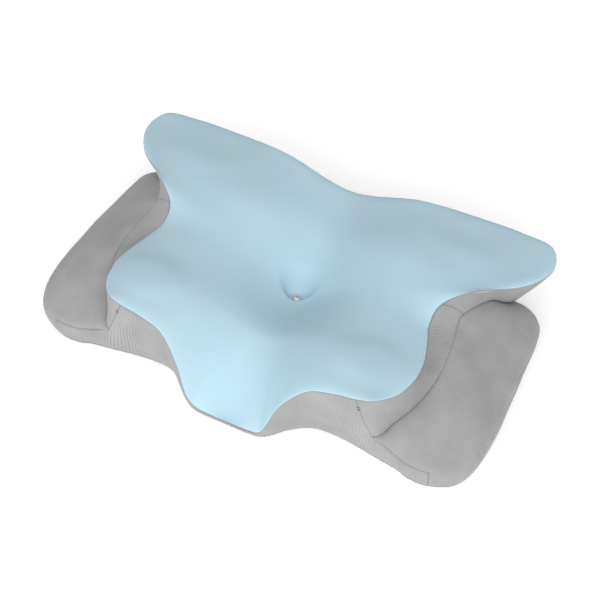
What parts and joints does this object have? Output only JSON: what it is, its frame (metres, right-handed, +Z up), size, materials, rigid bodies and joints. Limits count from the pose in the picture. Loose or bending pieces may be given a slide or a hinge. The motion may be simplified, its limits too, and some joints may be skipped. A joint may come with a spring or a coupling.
{
  "type": "contoured cervical pillow",
  "caption": "Butterfly-shaped memory foam neck pillow with a sunken head bowl, arm rests, a zipped knit cover and a press-stud in the bowl.",
  "frame": {"origin": "middle of the flat base, on the surface that the pillow lies on", "axes": "+X to the right of someone who stands at the neck tongue and looks at the back wall, +Y from the neck tongue to the back wall, +Z up"},
  "size_m": [0.6378, 0.3809, 0.13],
  "materials": {
    "cover_blue": "smooth cool-touch knit",
    "cover_grey": "ribbed mesh knit",
    "liner_white": "thin jersey",
    "foam": "open-cell viscoelastic foam",
    "zip_tape": "woven tape",
    "zip_coil": "nylon coil",
    "zip_metal": "satin nickel",
    "stud_metal": "polished nickel",
    "strap_white": "woven tape",
    "toggle_plastic": "moulded nylon",
    "label_white": "satin ribbon"
  },
  "bodies": {
    "pillow": {"foam_core": "foam", "inner_liner": "liner_white", "top_panel": "cover_blue", "right_wall_panel": "cover_grey", "left_wall_panel": "cover_grey", "right_arm_panel": "cover_grey", "left_arm_panel": "cover_grey", "front_gusset": "cover_grey", "back_gusset": "cover_grey", "bottom_panel": "cover_grey", "zip_tape_upper": "zip_tape", "zip_tape_lower": "zip_tape", "zip_teeth_upper": "zip_coil", "zip_teeth_lower": "zip_coil", "zip_stops": "zip_metal", "snap_stud": "stud_metal", "snap_post": "stud_metal", "anchor_strap": "strap_white", "anchor_toggle": "toggle_plastic", "care_label": "label_white"},
    "slider": {"zip_slider": "zip_metal"},
    "pull": {"zip_pull_tab": "zip_metal"},
    "button": {"snap_cap": "stud_metal", "snap_socket": "stud_metal", "dimple_panel": "cover_blue"}
  },
  "joints": [
    {"name": "zip_run", "type": "slide", "parent": "pillow", "child": "slider", "axis": [-1, 0, 0], "range_m": [0, 0.367]},
    {"name": "pull_swing", "type": "hinge", "parent": "slider", "child": "pull", "pos_m": [0.1835, 0.1873, 0.018], "axis": [0, 0, 1], "range_deg": [-180, 0]},
    {"name": "button_lift", "type": "slide", "parent": "pillow", "child": "button", "axis": [0, 0, 1], "range_m": [0, 0.006]}
  ]
}
